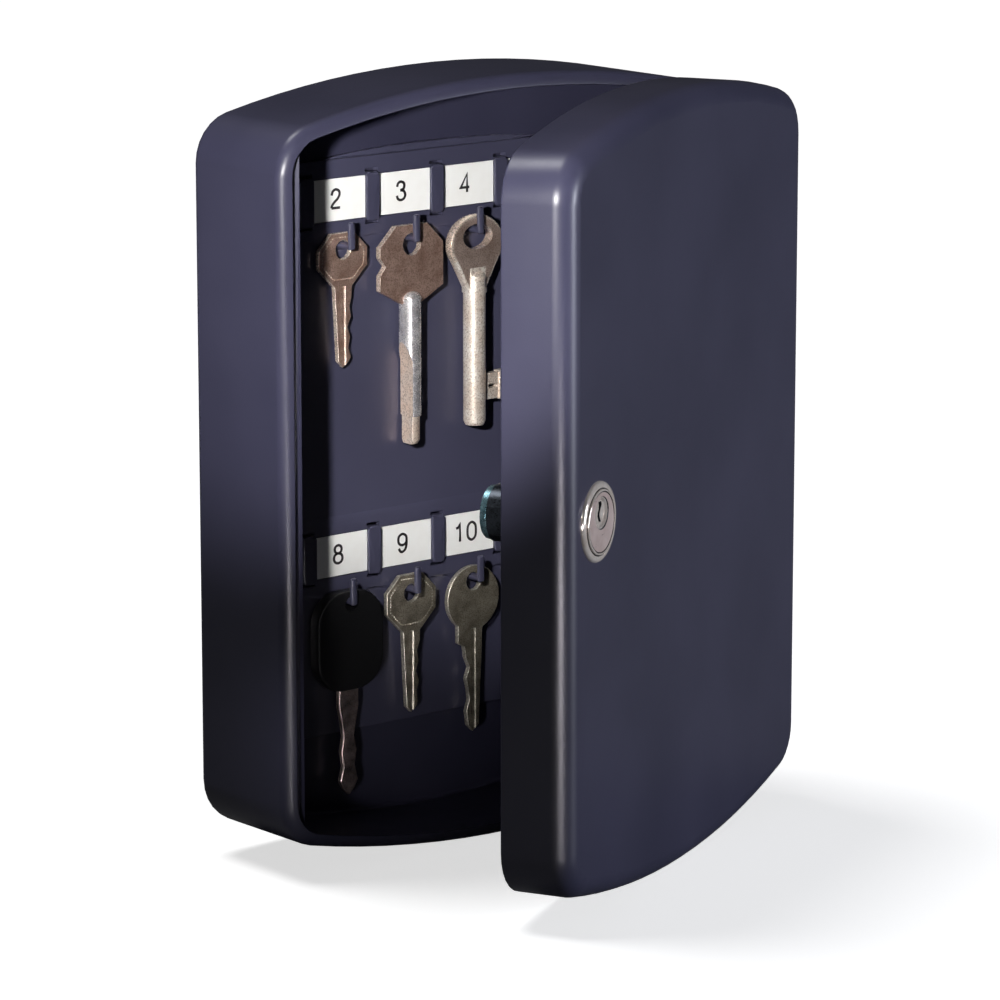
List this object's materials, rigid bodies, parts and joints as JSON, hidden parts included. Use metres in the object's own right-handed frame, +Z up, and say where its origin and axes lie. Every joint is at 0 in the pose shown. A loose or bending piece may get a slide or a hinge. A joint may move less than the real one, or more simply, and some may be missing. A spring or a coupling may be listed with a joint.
{
  "type": "key cabinet",
  "caption": "Wall key cabinet with arched top and bottom, a side-hinged door with a cam lock, and a hook panel with numbered cards and hanging keys",
  "frame": {"origin": "centre of the flat back face, which lies against the wall", "axes": "+X right as seen from the front, +Y into the wall, +Z up; the door faces -Y"},
  "size_m": [0.2375, 0.1776, 0.3],
  "materials": {
    "case_plastic": "satin, fine moulded texture, dark blue-grey",
    "panel_plastic": "satin, dark blue-grey",
    "card": "matt white card, black number",
    "lock_chrome": "polished, plated die-cast zinc",
    "zinc": "zinc plated",
    "steel": "bright steel",
    "key_brass": "worn, tarnished brass",
    "key_nickel": "worn nickel plating",
    "key_plastic": "black, moulded"
  },
  "bodies": {
    "cabinet": {"body_shell": "case_plastic", "hook_panel": "panel_plastic", "label_card_1": "card", "label_card_2": "card", "label_card_3": "card", "label_card_4": "card", "label_card_5": "card", "label_card_6": "card", "label_card_7": "card", "label_card_8": "card", "label_card_9": "card", "label_card_10": "card", "label_card_11": "card", "label_card_12": "card", "hinge_pin_upper": "steel", "hinge_pin_lower": "steel"},
    "door": {"door_shell": "case_plastic", "lock_housing": "lock_chrome", "lock_washer": "zinc", "lock_nut": "zinc"},
    "lock_turn": {"lock_plug": "lock_chrome", "lock_cam": "zinc", "cam_screw": "steel"},
    "key_2_hanging": {"key_2": "key_brass"},
    "key_3_hanging": {"key_3": "key_nickel"},
    "key_4_hanging": {"key_4": "key_brass"},
    "key_8_hanging": {"key_8_head": "key_plastic", "key_8_blade": "steel"},
    "key_9_hanging": {"key_9": "key_nickel"},
    "key_10_hanging": {"key_10": "key_nickel"}
  },
  "joints": [
    {"name": "door_hinge", "type": "hinge", "parent": "cabinet", "child": "door", "pos_m": [0.113, -0.0565, 0], "axis": [0, 0, 1], "range_deg": [-25.6, 89.4]},
    {"name": "lock_turning", "type": "hinge", "parent": "door", "child": "lock_turn", "pos_m": [-0.05776, -0.16992, 0.0054], "axis": [-0.4321, 0.9018, 0], "range_deg": [0, 180]},
    {"name": "key_2_swing", "type": "hinge", "parent": "cabinet", "child": "key_2_hanging", "pos_m": [-0.0483, -0.0075, 0.0832], "axis": [0, 1, 0], "range_deg": [-5, 5]},
    {"name": "key_3_swing", "type": "hinge", "parent": "cabinet", "child": "key_3_hanging", "pos_m": [-0.0161, -0.0095, 0.0832], "axis": [0, 1, 0], "range_deg": [-5, 5]},
    {"name": "key_4_swing", "type": "hinge", "parent": "cabinet", "child": "key_4_hanging", "pos_m": [0.0161, -0.01, 0.0832], "axis": [0, 1, 0], "range_deg": [-5, 5]},
    {"name": "key_8_swing", "type": "hinge", "parent": "cabinet", "child": "key_8_hanging", "pos_m": [-0.0483, -0.00935, -0.0572], "axis": [0, 1, 0], "range_deg": [-5, 5]},
    {"name": "key_9_swing", "type": "hinge", "parent": "cabinet", "child": "key_9_hanging", "pos_m": [-0.0161, -0.0087, -0.0572], "axis": [0, 1, 0], "range_deg": [-5, 5]},
    {"name": "key_10_swing", "type": "hinge", "parent": "cabinet", "child": "key_10_hanging", "pos_m": [0.0161, -0.0082, -0.0572], "axis": [0, 1, 0], "range_deg": [-5, 5]}
  ]
}
